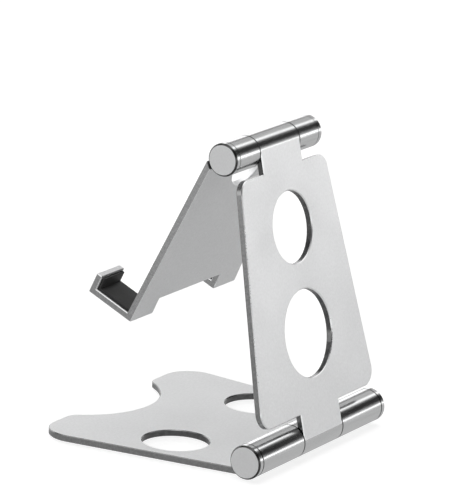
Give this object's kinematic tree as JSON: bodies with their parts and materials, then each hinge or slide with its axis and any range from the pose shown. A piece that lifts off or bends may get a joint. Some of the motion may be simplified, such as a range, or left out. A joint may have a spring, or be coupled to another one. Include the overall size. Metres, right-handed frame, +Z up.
{
  "type": "folding phone stand",
  "caption": "Folding aluminium phone stand: flat base plate with a round bay, leaning arm plate with round holes and a hooked cradle plate, on friction hinges.",
  "frame": {"origin": "on the table under the middle of the stand's footprint: z = 0 at the underside of the foot pads, x = 0 in the plane of symmetry, y = 0 halfway between the base's front edge and the back of the lower barrel", "axes": "+Z up, X along both hinge axes, -Y towards the user (the side the phone faces), +Y back"},
  "size_m": [0.0794, 0.0728, 0.0928],
  "materials": {
    "satin_aluminium": "fine bead-blasted, silver anodised",
    "cap_aluminium": "turned, silver anodised",
    "bright_steel": "machined",
    "spring_steel": "oiled, dark",
    "nylon": "natural, matt",
    "black_silicone": "matt black silicone"
  },
  "bodies": {
    "base": {"base_plate": "satin_aluminium", "lower_shaft": "bright_steel", "lower_head_washer": "bright_steel", "lower_nut_washer": "bright_steel", "lower_cap_left": "cap_aluminium", "lower_cap_right": "cap_aluminium", "lower_disc_springs": "spring_steel", "lower_lock_nut": "bright_steel", "foot_pad_rear": "black_silicone", "foot_pad_right": "black_silicone", "foot_pad_left": "black_silicone"},
    "arm": {"arm_plate": "satin_aluminium", "lower_friction_washer_left": "nylon", "lower_friction_washer_right": "nylon", "upper_friction_washer_left": "nylon", "upper_friction_washer_right": "nylon"},
    "cradle": {"cradle_face_pad": "black_silicone", "cradle_plate": "satin_aluminium", "hook_pad_left": "black_silicone", "hook_pad_right": "black_silicone", "upper_cap_left": "cap_aluminium", "upper_cap_right": "cap_aluminium", "upper_disc_springs": "spring_steel", "upper_head_washer": "bright_steel", "upper_lock_nut": "bright_steel", "upper_nut_washer": "bright_steel", "upper_shaft": "bright_steel"}
  },
  "joints": [
    {"name": "lower_hinge", "type": "hinge", "parent": "base", "child": "arm", "pos_m": [0, 0.03145, 0.0058], "axis": [1, 0, 0], "range_deg": [-75, 34]},
    {"name": "upper_hinge", "type": "hinge", "parent": "arm", "child": "cradle", "pos_m": [0, 0.01206, 0.08805], "axis": [1, 0, 0], "range_deg": [-135, 37]}
  ]
}
